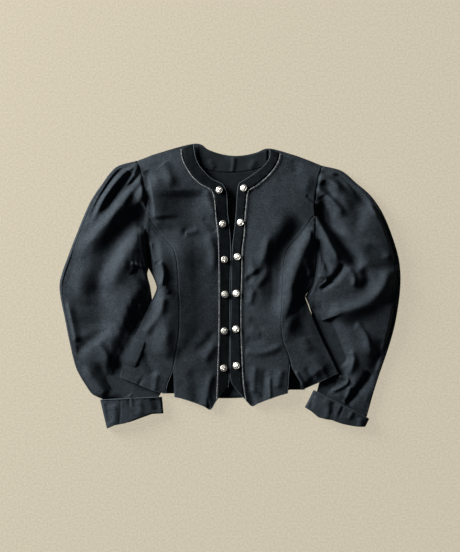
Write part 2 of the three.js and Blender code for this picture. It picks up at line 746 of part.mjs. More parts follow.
function velvetBand(front) {
  const lower = front.map((line) => bandProfile.map(({ place }) => {
    const at = place * bandParts;
    const column = Math.min(Math.floor(at), bandParts - 1);
    const [a, b] = [line[column], line[column + 1]];
    const point = a.map((value, k) => mix(value, b[k], at - column));
    return [point[0], point[1], point[2] + layGap];
  }));
  const upper = lower.map((line) => line.map(([x, y, z], c) => [x, y, z + velvet + bandProfile[c].rise]));
  return [upper, lower];
}

// Where a grid is crossed by the upright line through a place, and how the cloth leans there
function seatOn(grid, x, y) {
  for (let r = 0; r < grid.length - 1; r += 1) {
    for (let c = 0; c < grid[0].length - 1; c += 1) {
      const [a, b, d, e] = [grid[r][c], grid[r + 1][c], grid[r + 1][c + 1], grid[r][c + 1]];
      for (const corners of [[a, b, d], [a, d, e]]) {
        const triangle = new THREE.Triangle(...corners.map(([px, py]) => new THREE.Vector3(px, py, 0)));
        const share = new THREE.Vector3();
        if (!triangle.getBarycoord(new THREE.Vector3(x, y, 0), share)) continue;
        if (Math.min(share.x, share.y, share.z) < -1e-6) continue;
        const z = corners.reduce((sum, [, , height], k) => sum + height * share.getComponent(k), 0);
        const face = new THREE.Triangle(...corners.map((corner) => new THREE.Vector3(...corner)));
        const normal = face.getNormal(new THREE.Vector3());
        if (normal.z < 0) normal.negate();
        return { z, normal };
      }
    }
  }
  throw new Error(`nothing lies at ${x}, ${y}`);
}

// Button centres on each band, from the neck down
const buttonPlaces = {
  right: [[-22, 196], [-15, 127], [-11.5, 54], [-10.5, -17], [-12, -92], [-13, -168]],
  left: [[28, 200], [22, 130], [15.5, 60], [13, -15], [12.5, -88], [13.5, -163]],
};
const buttonSides = 12;
const buttonSeat = 0.9;

function button(name, grid, [x, y]) {
  const outline = [
    [0, 0], [0.8, 0], [1, 0.24], [1, 0.42], [0.86, 0.58], [0.55, 0.82], [0, 1],
  ].map(([out, up]) => new THREE.Vector2(out * buttonRadius, up * buttonHeight));
  const geometry = new THREE.LatheGeometry(outline, buttonSides);
  geometry.rotateX(Math.PI / 2);
  const mesh = new THREE.Mesh(geometry, new THREE.MeshStandardMaterial(silverFinish));
  const seat = seatOn(grid, x, y);
  mesh.name = name;
  mesh.quaternion.setFromUnitVectors(new THREE.Vector3(0, 0, 1), seat.normal);
  mesh.position.set(x, y, seat.z).addScaledVector(seat.normal, buttonSeat);
  return mesh;
}

const jacket = new THREE.Group();
jacket.add(cloth("back", ...back(), woolFinish));
const facingGrid = backFacing();
jacket.add(cloth("back_facing", facingGrid, underneath(facingGrid, facing), facingFinish));
const liningGrid = backLining();
jacket.add(cloth("lining_back", liningGrid, underneath(liningGrid, lining), liningFinish));

for (const [word, half] of [["right", right], ["left", left]]) {
  const front = centreFront(half);
  const onBack = (x, y) => liftAt(x, y) + backWool + layGap;
  jacket.add(cloth(`front_centre_${word}`, front, underneath(front, wool, onBack), woolFinish));
  const side = sideFront(half);
  jacket.add(cloth(`front_side_${word}`, side, underneath(side, wool, onBack), woolFinish));
  const underlay = ventUnderlay(half);
  jacket.add(cloth(`vent_underlay_${word}`, underlay, underneath(underlay, lining), woolFinish));
  const upper = upperSleeve(half);
  const sections = sleeveSections(half);
  const onUnder = (x, y, r) => along(half.sleeve, sections[r]).base + sleeveWall + layGap;
  jacket.add(cloth(`sleeve_upper_${word}`, upper, underneath(upper, wool, onUnder), woolFinish));
  jacket.add(cloth(`sleeve_under_${word}`, ...underSleeve(half), woolFinish));
  jacket.add(cuff(`cuff_${word}`, half));
  const band = velvetBand(front);
  jacket.add(cloth(`velvet_band_${word}`, ...band, velvetFinish));
  buttonPlaces[word].forEach((place, i) => {
    jacket.add(button(`button_${word}_${i + 1}`, band[0], place));
  });
}

export default jacket;
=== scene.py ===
import math
import random

import bmesh
import bpy
import numpy as np
from mathutils import Matrix, Vector, noise


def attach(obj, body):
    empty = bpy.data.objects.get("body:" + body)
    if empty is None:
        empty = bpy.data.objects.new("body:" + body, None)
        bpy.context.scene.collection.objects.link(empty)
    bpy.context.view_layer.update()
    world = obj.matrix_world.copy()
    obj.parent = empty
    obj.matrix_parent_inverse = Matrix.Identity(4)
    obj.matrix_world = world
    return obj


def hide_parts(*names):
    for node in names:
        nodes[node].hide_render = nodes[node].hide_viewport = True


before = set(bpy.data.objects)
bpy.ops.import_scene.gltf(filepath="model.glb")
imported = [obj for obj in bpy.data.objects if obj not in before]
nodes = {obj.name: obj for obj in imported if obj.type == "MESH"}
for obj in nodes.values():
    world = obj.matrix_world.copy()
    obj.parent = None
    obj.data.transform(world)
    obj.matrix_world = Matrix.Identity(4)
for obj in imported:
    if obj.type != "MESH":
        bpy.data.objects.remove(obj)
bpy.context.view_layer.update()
mm = 0.001
halves = {"right": -1, "left": 1}


# Reading the solids: each cloth solid is a grid of points, with rows down the garment

def solidFaces(node):
    bm = bmesh.new()
    bm.from_mesh(nodes[node].data)
    bmesh.ops.remove_doubles(bm, verts=bm.verts, dist=1e-6)
    bm.normal_update()
    return bm


def keepOneSide(bm, up, turnLimit):
    # the side walls of the cloth stand upright, so the faces between them are its two sides
    walls = {f for f in bm.faces if abs(f.normal.z) < 2e-3}
    left = set(bm.faces) - walls
    sides = []
    while left:
        stack = [left.pop()]
        side = set(stack)
        while stack:
            for edge in stack.pop().edges:
                if edge.calc_face_angle(0) > turnLimit:
                    continue
                for other in edge.link_faces:
                    if other in left:
                        left.discard(other)
                        side.add(other)
                        stack.append(other)
        sides.append(side)
    kept = max(sides, key=lambda side: up * sum(f.normal.z * f.calc_area() for f in side))
    bmesh.ops.delete(bm, geom=[f for f in bm.faces if f not in kept], context="FACES")


def makeQuads(bm):
    # from a corner with one triangle, every cell's diagonal follows from its neighbour's
    corner = next(v for v in bm.verts if len(v.link_faces) == 1)
    first = corner.link_faces[0]
    stack = [(first, next(e for e in first.edges if corner not in e.verts))]
    paired, diagonals = set(), []
    while stack:
        face, diagonal = stack.pop()
        if face in paired:
            continue
        mate = next(f for f in diagonal.link_faces if f is not face)
        paired.update((face, mate))
        diagonals.append(diagonal)
        for known in (face, mate):
            for edge in known.edges:
                other = next((f for f in edge.link_faces if f not in paired), None)
                if edge is diagonal or other is None:
                    continue
                far = next(v for v in edge.verts if v not in diagonal.verts)
                stack.append((other, next(e for e in other.edges if e is not edge and far in e.verts)))
    bmesh.ops.dissolve_edges(bm, edges=diagonals)


def gridOf(node, up=1, turnLimit=3, wide=False):
    bm = solidFaces(node)
    keepOneSide(bm, up, turnLimit)
    makeQuads(bm)
    rows = [[next(v for v in bm.verts if len(v.link_faces) == 1)]]
    used = set(rows[0])
    while len(rows[0]) == 1 or len(rows[0][-1].link_faces) > 1:
        last = rows[0][-1]
        around = [e.other_vert(last) for e in last.link_edges if e.is_boundary]
        rows[0].append(next(v for v in around if v not in used))
        used.add(rows[0][-1])
    while True:
        below = []
        for vert in rows[-1]:
            around = [e.other_vert(vert) for e in vert.link_edges]
            below.append(next((v for v in around if v not in used), None))
        if None in below:
            break
        used.update(below)
        rows.append(below)
    points = np.array([[v.co[:] for v in row] for row in rows])
    bm.free()
    if (points.shape[0] < points.shape[1]) != wide and points.shape[0] != points.shape[1]:
        points = points.transpose(1, 0, 2)
    if points.shape[0] == points.shape[1]:
        drop = abs(points[0, :, 1].mean() - points[-1, :, 1].mean())
        if drop < abs(points[:, 0, 1].mean() - points[:, -1, 1].mean()):
            points = points.transpose(1, 0, 2)
    if points[0, :, 1].mean() < points[-1, :, 1].mean():
        points = points[::-1]
    outward = next((sign for word, sign in halves.items() if node.endswith(word)), 1)
    if outward * points[:, 0, 0].mean() > outward * points[:, -1, 0].mean():
        points = points[:, ::-1]
    return points


def smoothAlong(points, times):
    # a smooth line through the points, with more between them
    ends = np.concatenate([[2 * points[0] - points[1]], points, [2 * points[-1] - points[-2]]])
    t = (np.arange(times) / times)[:, None, None]
    parts = []
    for i in range(len(points) - 1):
        a, b, c, d = ends[i:i + 4]
        parts.append(b + 0.5 * t * (c - a + t * (2 * a - 5 * b + 4 * c - d + t * (3 * (b - c) + d - a))))
    return np.concatenate(parts + [points[-1:]])


def finer(points, down, across):
    more = smoothAlong(points, down)
    return smoothAlong(more.transpose(1, 0, 2), across).transpose(1, 0, 2)


# Folds: soft ridges and troughs along bent lines

def foldLine(fold, steps=12):
    x0, y0, xm, ym, x1, y1 = fold[:6]
    t = np.linspace(0, 1, steps + 1)[:, None]
    a, m, b = (np.array(p) for p in ((x0, y0), (xm, ym), (x1, y1)))
    return (1 - t) * (1 - 2 * t) * a + 4 * t * (1 - t) * m + t * (2 * t - 1) * b


crestShift = (0.26, -0.15)      # how far a crest lies from its lit line, for each width of the fold
clothFall = {
    "depth": 0.95,                  # how deep the folds are
    "slow": (0.045, 1.1 * mm, 3),   # size, height and start of the slow unevenness
    "fine": (0.012, 0.22 * mm, 9),
    "sleeve": 0.55,                 # how far the puffed sleeves sink into themselves
    "flat": 9 * mm,                 # below this height they don't sink
    "rise": 1.0,                    # how steeply they rise from their inner seams
    "lowestFront": 6.5 * mm,        # troughs stop here, above the layer below
    "lowestSleeve": 4.6 * mm,
}


def foldRise(points, folds):
    # the line is drawn along the lit slope, so the crest lies a little down and across from it
    total = np.zeros(points.shape[:2])
    for fold in folds:
        height, near, far, fadeIn, fadeOut = fold[6:11]
        x = points[..., 0] / mm - crestShift[0] * (near + far)
        y = points[..., 1] / mm - crestShift[1] * (near + far)
        line = foldLine(fold)
        best = np.full_like(x, 1e9)
        place, turn = np.zeros_like(x), np.zeros_like(x)
        for i in range(len(line) - 1):
            (ax, ay), (dx, dy) = line[i], line[i + 1] - line[i]
            t = np.clip(((x - ax) * dx + (y - ay) * dy) / (dx * dx + dy * dy + 1e-9), 0, 1)
            away = np.hypot(x - ax - t * dx, y - ay - t * dy)
            closer = away < best
            best = np.where(closer, away, best)
            place = np.where(closer, (i + t) / (len(line) - 1), place)
            turn = np.where(closer, dx * (y - ay) - dy * (x - ax), turn)
        width = np.where(turn > 0, near, far)
        rise = height * np.exp(-(best / width) ** 2)
        for fade, at in ((fadeIn, place), (fadeOut, 1 - place)):
            if fade:
                t = np.clip(at / fade, 0, 1)
                rise = rise * t * t * (3 - 2 * t)
        total += rise
    return total * mm


# Each fold in millimetres: x and y of its line's start, middle and end, height, width to the left
# and right of its run, and the share of its run over which it starts and ends
bodyFolds = {
    "right": [
        [-160, 130, -156, 10, -148, -150, 21.0, 60, 20, 0.3, 0.45],
        [-176, 236, -168, 190, -163, 140, 8.0, 38, 5, 0.2, 0.1],
        [-106, 213, -100, 73, -84, -160, -10.0, 34, 58, 0.1, 0.4],
        [-143, 256, -130, 232, -122, 200, 4.0, 9, 10, 0.1, 0.3],
        [-176, 240, -168, 222, -160, 204, -3.0, 8, 8, 0.2, 0.3],
        [-163, 142, -126, 132, -94, 111, 3.5, 8, 11, 0.2, 0.2],
        [-96, 111, -82, 112, -62, 121, 3.0, 6, 7, 0.2, 0.3],
        [-54, 200, -44, 170, -28, 134, 3.5, 8, 7, 0.2, 0.3],
        [-60, 144, -46, 130, -30, 113, -2.2, 6, 6, 0.3, 0.1],
        [-54, 112, -38, 70, -44, 24, 4.5, 9, 10, 0.2, 0.4],
        [-165, 94, -160, 62, -152, 48, 4.0, 5, 5, 0.1, 0.2],
        [-148, 50, -138, 28, -147, -6, 5.0, 6, 5, 0.1, 0.2],
        [-140, 2, -132, -6, -126, -14, 2.5, 6, 6, 0.3, 0.3],
        [-143, -18, -148, -50, -182, -98, 5.0, 9, 8, 0.2, 0.1],
        [-137, -76, -131, -118, -140, -150, 3.5, 12, 12, 0.3, 0.3],
        [-182, -128, -170, -156, -158, -182, -3.0, 9, 9, 0.3, 0.2],
        [-150, -176, -154, -190, -156, -208, 2.0, 5, 6, 0.3, 0.0],
        [-40, -86, -54, -114, -98, -146, -3.0, 9, 9, 0.3, 0.4],
        [-34, -112, -46, -134, -62, -154, 3.5, 9, 9, 0.3, 0.3],
        [-84, -158, -78, -190, -74, -228, -2.5, 12, 12, 0.4, 0.0],
        [-37, -168, -48, -204, -51, -236, 4.0, 8, 9, 0.3, 0.0],
        [-48, -226, -46, -236, -45, -246, -2.0, 3, 3, 0.5, 0.0],
        [-172, -178, -186, -196, -188, -212, -1.6, 4, 4, 0.5, 0.0],
    ],
    "left": [
        [123, 266, 128, 248, 131, 230, -2.5, 12, 12, 0.3, 0.3],
        [160, 232, 150, 210, 140, 190, 2.5, 12, 12, 0.3, 0.4],
        [154, 187, 162, 180, 170, 173, -2.0, 3, 3, 0.2, 0.0],
        [149, 142, 98, 62, 83, -58, -14.0, 19, 26, 0.15, 0.2],
        [116, 150, 72, 66, 58, -50, 5.0, 22, 22, 0.2, 0.2],
        [74, 112, 68, 74, 60, 44, 4.0, 9, 9, 0.3, 0.3],
        [28, 6, 52, 28, 72, 36, -2.5, 6, 6, 0.1, 0.3],
        [24, 17, 42, 28, 60, 38, 2.5, 5, 4, 0.2, 0.3],
        [46, -4, 60, 12, 76, 30, 3.0, 7, 7, 0.3, 0.3],
        [163, 122, 122, 22, 107, -116, 11.0, 16, 20, 0.1, 0.2],
        [130, 10, 138, -6, 148, -24, -3.5, 9, 9, 0.3, 0.3],
        [152, 66, 156, 40, 160, 14, 3.5, 7, 7, 0.3, 0.3],
        [144, -96, 150, -116, 160, -138, 3.0, 11, 12, 0.3, 0.4],
        [70, -240, 125, -190, 185, -140, 8.0, 60, 12, 0.1, 0.2],
        [28, -129, 64, -134, 108, -116, 3.0, 6, 7, 0.1, 0.2],
        [32, -62, 50, -76, 68, -90, -2.0, 8, 8, 0.3, 0.3],
        [36, -84, 48, -92, 62, -98, 2.0, 7, 7, 0.3, 0.3],
        [28, -104, 44, -112, 70, -108, -2.0, 7, 7, 0.3, 0.4],
        [46, 0, 40, -20, 36, -40, 3.5, 7, 7, 0.3, 0.3],
        [49, -156, 46, -182, 44, -210, 3.0, 7, 7, 0.3, 0.0],
        [70, -160, 66, -190, 65, -222, -2.6, 7, 7, 0.4, 0.0],
        [80, -182, 79, -200, 80, -224, 2.5, 4, 4, 0.3, 0.0],
        [103, -164, 97, -184, 92, -210, 3.0, 8, 9, 0.3, 0.2],
        [32, -190, 38, -214, 44, -238, -3.0, 7, 6, 0.3, 0.0],
        [131, -172, 140, -188, 151, -206, 3.0, 4, 4, 0.2, 0.0],
        [184, -160, 190, -176, 200, -190, 2.6, 5, 5, 0.4, 0.2],
        [150, -160, 160, -178, 172, -190, -2.5, 6, 6, 0.3, 0.2],
    ],
}

sleeveFolds = {
    "right": [
        [-190, 252, -250, 197, -289, 119, 6.0, 7, 6, 0.0, 0.3],
        [-222, 248, -260, 197, -291, 124, -5.0, 6, 5, 0.1, 0.3],
        [-205, 238, -238, 193, -270, 142, -6.0, 8, 7, 0.05, 0.3],
        [-190, 245, -202, 226, -217, 201, 4.0, 5, 3, 0.0, 0.3],
        [-183, 232, -200, 215, -220, 195, -4.0, 3, 3, 0.0, 0.4],
        [-186, 222, -240, 158, -324, 62, 10.0, 32, 14, 0.0, 0.2],
        [-182, 211, -203, 184, -212, 160, -4.0, 6, 6, 0.0, 0.3],
        [-178, 197, -189, 176, -199, 163, 3.5, 6, 6, 0.0, 0.4],
        [-178, 162, -250, 85, -290, -30, -15.0, 24, 26, 0.05, 0.15],
        [-184, 126, -217, 74, -272, -18, 9.0, 18, 18, 0.1, 0.25],
        [-205, 46, -186, 42, -168, 37, 4.0, 5, 3, 0.1, 0.0],
        [-203, 37, -184, 18, -166, -10, -6.0, 9, 9, 0.1, 0.1],
        [-342, -20, -330, -70, -320, -112, 6.0, 10, 10, 0.3, 0.1],
        [-298, 22, -288, -36, -288, -96, -13.0, 34, 42, 0.45, 0.3],
        [-176, 110, -178, 30, -200, -60, 10.0, 8, 40, 0.2, 0.2],
        [-180, -28, -188, -48, -184, -66, 4.0, 8, 8, 0.3, 0.3],
        [-246, -86, -287, -105, -322, -143, -4.0, 10, 10, 0.2, 0.2],
        [-275, -109, -262, -131, -242, -164, 5.0, 8, 8, 0.2, 0.3],
        [-184, -94, -198, -134, -216, -174, 11.0, 8, 42, 0.2, 0.3],
        [-307, -156, -281, -194, -254, -221, 6.0, 10, 12, 0.3, 0.2],
        [-279, -148, -252, -189, -210, -223, -7.0, 11, 11, 0.3, 0.1],
    ],
    "left": [
        [208, 240, 252, 200, 282, 158, -7.0, 11, 11, 0.1, 0.3],
        [284, 182, 296, 158, 288, 138, 4.0, 9, 9, 0.4, 0.4],
        [187, 243, 222, 224, 260, 183, 5.0, 7, 7, 0.0, 0.3],
        [185, 238, 213, 221, 250, 190, -4.5, 7, 7, 0.0, 0.4],
        [179, 221, 207, 216, 221, 186, 5.0, 9, 9, 0.0, 0.3],
        [184, 216, 199, 197, 212, 180, -4.0, 7, 7, 0.1, 0.4],
        [178, 199, 204, 176, 232, 142, 5.0, 7, 7, 0.0, 0.2],
        [182, 188, 198, 162, 212, 138, -4.0, 8, 8, 0.1, 0.4],
        [224, 188, 258, 148, 226, 112, -4.5, 14, 14, 0.3, 0.3],
        [177, 168, 204, 124, 256, 88, 6.0, 8, 6, 0.0, 0.3],
        [244, 93, 300, 84, 322, 52, 5.0, 10, 10, 0.3, 0.2],
        [177, 158, 214, 108, 262, 36, -20.0, 13, 11, 0.0, 0.15],
        [256, 48, 276, 16, 250, -6, -6.0, 10, 10, 0.3, 0.3],
        [176, 142, 198, 94, 222, 48, 6.0, 7, 7, 0.0, 0.2],
        [176, 98, 187, 64, 203, 22, -5.0, 6, 6, 0.1, 0.2],
        [228, 50, 212, 20, 180, -4, -7.0, 6, 6, 0.15, 0.1],
        [176, 22, 196, 14, 180, 0, 4.0, 3, 3, 0.1, 0.1],
        [233, 40, 250, 20, 246, -2, 4.0, 6, 6, 0.2, 0.2],
        [314, 46, 284, -20, 190, -52, 9.0, 18, 15, 0.15, 0.1],
        [186, -62, 202, -104, 222, -160, -18.0, 20, 20, 0.05, 0.15],
        [250, -74, 272, -96, 287, -146, 5.0, 6, 9, 0.2, 0.15],
        [241, -128, 249, -152, 236, -182, 5.0, 7, 6, 0.2, 0.2],
        [303, -100, 300, -136, 284, -176, -4.0, 10, 10, 0.3, 0.2],
        [272, 190, 316, 120, 334, 44, 7.0, 10, 48, 0.2, 0.2],
        [328, -20, 324, -80, 306, -150, 7.0, 8, 44, 0.2, 0.2],
        [284, -172, 262, -206, 233, -238, -7.0, 8, 8, 0.1, 0.05],
        [304, -190, 292, -214, 280, -240, 3.0, 7, 8, 0.2, 0.1],
        [220, -183, 238, -196, 203, -215, 5.0, 4, 4, 0.05, 0.1],
        [214, -186, 206, -198, 198, -212, -4.5, 5, 5, 0.1, 0.1],
        [242, -202, 240, -218, 232, -236, 4.0, 6, 5, 0.2, 0.0],
    ],
}


def shapeCloth(points, folds, calm, lowest):
    # folds and the unevenness of handled cloth; calm is 0 where the cloth is held still
    rise = clothFall["depth"] * foldRise(points, folds)
    for uneven in ("slow", "fine"):
        rise += waves(points, *clothFall[uneven])
    z = points[..., 2]
    points[..., 2] = np.maximum(z + rise * calm, np.minimum(z, lowest))


def meetEdge(points, side, reach=0.22 * mm):
    # the last strip reaches the seam's middle, so that no slit shows between two pieces
    edge, inner = {"first": (points[:, 0], points[:, 1]), "last": (points[:, -1], points[:, -2]),
                   "top": (points[0], points[1])}[side]
    out = (edge - inner)[:, :2]
    edge[:, :2] += out / np.linalg.norm(out, axis=1)[:, None] * reach


def waves(points, size, height, seed):
    out = np.empty(points.shape[:2])
    for i, row in enumerate(points):
        for j, p in enumerate(row):
            out[i, j] = noise.noise(Vector((p[0] / size + seed, p[1] / size - seed, p[2] / size)))
    return out * height


def step(value, low, high):
    t = np.clip((value - low) / (high - low), 0, 1)
    return t * t * (3 - 2 * t)


def awayFrom(points, side):
    # distance along the grid from one of its edges
    if side in ("first", "last"):
        lengths = np.linalg.norm(np.diff(points, axis=1), axis=2)
        run = np.concatenate([np.zeros((len(points), 1)), np.cumsum(lengths, axis=1)], axis=1)
        return run if side == "first" else run[:, -1:] - run
    lengths = np.linalg.norm(np.diff(points, axis=0), axis=2)
    run = np.concatenate([np.zeros((1, points.shape[1])), np.cumsum(lengths, axis=0)])
    return run if side == "top" else run[-1:] - run


def loose(points, side, held, free):
    # 0 where an edge holds the cloth, 1 from where it lies free, both in millimetres from the edge
    return step(awayFrom(points, side), held * mm, free * mm)


def sewnEdge(points, side, depth, width, ridge):
    # cloth turns down into a seam, over the edge that is pressed back beside it
    away = awayFrom(points, side) / mm
    turnedDown = depth * np.exp(-(away / width) ** 2)
    pressedBack = ridge * np.exp(-((away - 3.2 * width) / (1.3 * width)) ** 2)
    return (pressedBack - turnedDown) * mm


# Materials

def newMaterial(name):
    material = bpy.data.materials.new(name)
    material.use_nodes = True
    tree = material.node_tree
    shader = next(n for n in tree.nodes if n.type == "BSDF_PRINCIPLED")
    return material, tree, shader


def addNode(tree, kind, inputs=(), **settings):
    node = tree.nodes.new(kind)
    for key, value in settings.items():
        setattr(node, key, value)
    for key, value in dict(inputs).items():
        if isinstance(value, bpy.types.NodeSocket):
            tree.links.new(value, node.inputs[key])
        else:
            node.inputs[key].default_value = value
    return node


def grey(value):
    return (value, value, value, 1)


def ramp(tree, factor, stops):
    node = addNode(tree, "ShaderNodeValToRGB", {"Fac": factor})
    while len(node.color_ramp.elements) < len(stops):
        node.color_ramp.elements.new(0.5)
    for element, (at, colour) in zip(node.color_ramp.elements, stops):
        element.position = at
        element.color = colour
    return node.outputs["Color"]


def mixColours(tree, kind, factor, a, b):
    node = addNode(tree, "ShaderNodeMix", data_type="RGBA", blend_type=kind)
    node.inputs[0].default_value = factor
    tree.links.new(a, node.inputs[6])
    tree.links.new(b, node.inputs[7])
    return node.outputs[2]


def plainColour(tree, colour):
    node = addNode(tree, "ShaderNodeRGB")
    node.outputs[0].default_value = colour
    return node.outputs[0]


clothLook = {
    "tint": (0.72, 0.88, 1.0, 1),           # of the cloth's dull shine
    "woolDark": (0.0050, 0.0065, 0.0080, 1),
    "woolLight": (0.0110, 0.0142, 0.0178, 1),
    "velvet": (0.0016, 0.0022, 0.0026, 1),
    "velvetLight": (0.0042, 0.0056, 0.0064, 1),
    "lining": (0.0052, 0.0066, 0.0078, 1),
    "facing": (0.0048, 0.0062, 0.0076, 1),
    "cordDark": (0.016, 0.018, 0.020, 1),
    "cordLight": (0.135, 0.145, 0.145, 1),
    "silver": (0.80, 0.77, 0.70, 1),
    "tarnish": (0.045, 0.042, 0.040, 1),
    # edge: the lighter colour of the tubes along turned edges, a painted highlight
    "edge": (0.030, 0.037, 0.043, 1),
    "lint": (0.16, 0.18, 0.19, 1),
}


def dullShine(shader, roughness, level):
    shader.inputs["Roughness"].default_value = roughness
    shader.inputs["Specular IOR Level"].default_value = level
    shader.inputs["Specular Tint"].default_value = clothLook["tint"]


def woolMaterial():
    # a soft twill: fine slanting ribs, melange yarn and slow mottling
    material, tree, shader = newMaterial("woolCloth")
    place = addNode(tree, "ShaderNodeTexCoord").outputs["Object"]
    mottle = addNode(tree, "ShaderNodeTexNoise", {"Vector": place, "Scale": 55, "Detail": 5,
                                                  "Roughness": 0.72})
    melange = addNode(tree, "ShaderNodeTexNoise", {"Vector": place, "Scale": 420, "Detail": 2})
    base = ramp(tree, mottle.outputs["Fac"], [(0.30, clothLook["woolDark"]), (0.72, clothLook["woolLight"])])
    grain = ramp(tree, melange.outputs["Fac"], [(0.32, grey(0.40)), (0.66, grey(1.75))])
    tree.links.new(mixColours(tree, "MULTIPLY", 1, base, grain), shader.inputs["Base Color"])
    weave = addNode(tree, "ShaderNodeTexWave", {"Vector": place, "Scale": 150, "Distortion": 1.5,
                                                "Detail": 1, "Detail Scale": 3}, bands_direction="DIAGONAL")
    ribs = addNode(tree, "ShaderNodeBump", {"Height": weave.outputs["Fac"], "Strength": 0.25,
                                            "Distance": 0.0003})
    nap = addNode(tree, "ShaderNodeBump", {"Height": melange.outputs["Fac"], "Strength": 0.5,
                                           "Distance": 0.0006, "Normal": ribs.outputs["Normal"]})
    tree.links.new(nap.outputs["Normal"], shader.inputs["Normal"])
    dullShine(shader, 0.82, 0.18)
    return material


def velvetMaterial():
    # short pile with slow nap marks and a faint sheen
    material, tree, shader = newMaterial("velvetBand")
    place = addNode(tree, "ShaderNodeTexCoord").outputs["Object"]
    nap = addNode(tree, "ShaderNodeTexNoise", {"Vector": place, "Scale": 90, "Detail": 3})
    pile = addNode(tree, "ShaderNodeTexNoise", {"Vector": place, "Scale": 900, "Detail": 1})
    colour = ramp(tree, nap.outputs["Fac"], [(0.35, clothLook["velvet"]), (0.75, clothLook["velvetLight"])])
    tree.links.new(colour, shader.inputs["Base Color"])
    bump = addNode(tree, "ShaderNodeBump", {"Height": pile.outputs["Fac"], "Strength": 0.5,
                                            "Distance": 0.0005})
    tree.links.new(bump.outputs["Normal"], shader.inputs["Normal"])
    dullShine(shader, 0.95, 0.05)
    shader.inputs["Sheen Weight"].default_value = 0.03
    shader.inputs["Sheen Roughness"].default_value = 0.35
    return material


def satinMaterial(name, colour, roughness):
    # smooth thread, a little cloudy
    material, tree, shader = newMaterial(name)
    place = addNode(tree, "ShaderNodeTexCoord").outputs["Object"]
    cloudy = addNode(tree, "ShaderNodeTexNoise", {"Vector": place, "Scale": 60, "Detail": 3})
    thread = addNode(tree, "ShaderNodeTexNoise", {"Vector": place, "Scale": 700, "Detail": 1})
    shade = ramp(tree, cloudy.outputs["Fac"], [(0.3, grey(0.75)), (0.7, grey(1.25))])
    tree.links.new(mixColours(tree, "MULTIPLY", 1, plainColour(tree, colour), shade),
                   shader.inputs["Base Color"])
    bump = addNode(tree, "ShaderNodeBump", {"Height": thread.outputs["Fac"], "Strength": 0.2,
                                            "Distance": 0.0003})
    tree.links.new(bump.outputs["Normal"], shader.inputs["Normal"])
    dullShine(shader, roughness, 0.12)
    return material


def cordMaterial():
    # grey and black fibres
    material, tree, shader = newMaterial("twistedCord")
    place = addNode(tree, "ShaderNodeTexCoord").outputs["Object"]
    fibre = addNode(tree, "ShaderNodeTexNoise", {"Vector": place, "Scale": 260, "Detail": 2})
    colour = ramp(tree, fibre.outputs["Fac"], [(0.35, clothLook["cordDark"]), (0.62, clothLook["cordLight"])])
    tree.links.new(colour, shader.inputs["Base Color"])
    shader.inputs["Roughness"].default_value = 0.7
    return material


def silverMaterial():
    # bright where it is rubbed, dark in the hollows of the relief
    material, tree, shader = newMaterial("agedSilver")
    hollow = addNode(tree, "ShaderNodeAttribute", attribute_name="hollow")
    place = addNode(tree, "ShaderNodeTexCoord").outputs["Object"]
    tarnish = addNode(tree, "ShaderNodeTexNoise", {"Vector": place, "Scale": 500, "Detail": 3})
    colour = ramp(tree, hollow.outputs["Fac"], [(0.25, clothLook["silver"]), (0.85, clothLook["tarnish"])])
    tree.links.new(colour, shader.inputs["Base Color"])
    rough = ramp(tree, tarnish.outputs["Fac"], [(0.3, grey(0.24)), (0.75, grey(0.46))])
    tree.links.new(rough, shader.inputs["Roughness"])
    shader.inputs["Metallic"].default_value = 0.7
    return material


materials = {
    "wool": woolMaterial(),
    "velvet": velvetMaterial(),
    "lining": satinMaterial("satinLining", clothLook["lining"], 0.42),
    "facing": satinMaterial("neckFacing", clothLook["facing"], 0.7),
    "cord": cordMaterial(),
    "silver": silverMaterial(),
    # a lighter satin for the edge tubes: a painted highlight
    "edge": satinMaterial("paintedHighlightEdge", clothLook["edge"], 0.6),
    "lint": satinMaterial("paleLint", clothLook["lint"], 0.9),
}
print("materials made")


# Making pieces

# Each cut piece: its wall, the flat width and length of what shows, and its area
sheets = {
    "back": {"wall": 1.3 * mm, "flat": (0.462, 0.542), "area": 0.177},
    "facing": {"wall": 1.2 * mm, "flat": (0.150, 0.044), "area": 0.0050},
    "lining": {"wall": 0.8 * mm, "flat": (0.217, 0.459), "area": 0.092},
    "front": {"wall": 1.3 * mm, "flat": (0.168, 0.554), "area": 0.062},
    "side": {"wall": 1.3 * mm, "flat": (0.100, 0.380), "area": 0.022},
    "underlay": {"wall": 0.9 * mm, "flat": (0.043, 0.081), "area": 0.0018},
    "upper sleeve": {"wall": 1.3 * mm, "flat": (0.286, 0.607), "area": 0.080},
    "under sleeve": {"wall": 1.1 * mm, "flat": (0.287, 0.614), "area": 0.083},
    "band": {"wall": 1.1 * mm, "flat": (0.037, 0.540), "area": 0.0105},
}
lint = {"count": 9, "size": 0.55 * mm, "fromEdge": 8, "above": 0.3 * mm}
lintSeed = random.Random(5)
# radii of the lighter edge tubes that paint a highlight along hems, cuff tops and the band, and how far they
# keep above the table
edges = {"hem": 0.6 * mm, "cuff": 0.9 * mm, "band": 0.75 * mm, "above": 0.2 * mm}


def meshPiece(name, mesh, kind):
    # a finished mesh becomes a piece that rides on the jacket
    mesh.materials.clear()
    mesh.materials.append(materials[kind])
    piece = bpy.data.objects.new(name, mesh)
    bpy.context.scene.collection.objects.link(piece)
    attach(piece, "root")
    return piece


def meshFrom(name, bm):
    mesh = bpy.data.meshes.new(name)
    bm.to_mesh(mesh)
    bm.free()
    return mesh


def makeLint(name, points):
    # a few pale specks of fluff on the cloth
    bm = bmesh.new()
    for _ in range(lint["count"]):
        row = lintSeed.randrange(lint["fromEdge"], points.shape[0] - lint["fromEdge"])
        column = lintSeed.randrange(lint["fromEdge"], points.shape[1] - lint["fromEdge"])
        size = lint["size"] * lintSeed.uniform(0.6, 1.2)
        spot = Matrix.Translation(Vector(points[row, column]) + Vector((0, 0, lint["above"])))
        flat = Matrix.Diagonal((size, size * lintSeed.uniform(0.5, 1), size * 0.5, 1))
        bmesh.ops.create_icosphere(bm, subdivisions=1, radius=1, matrix=spot @ flat)
    meshPiece(name, meshFrom(name, bm), "lint")


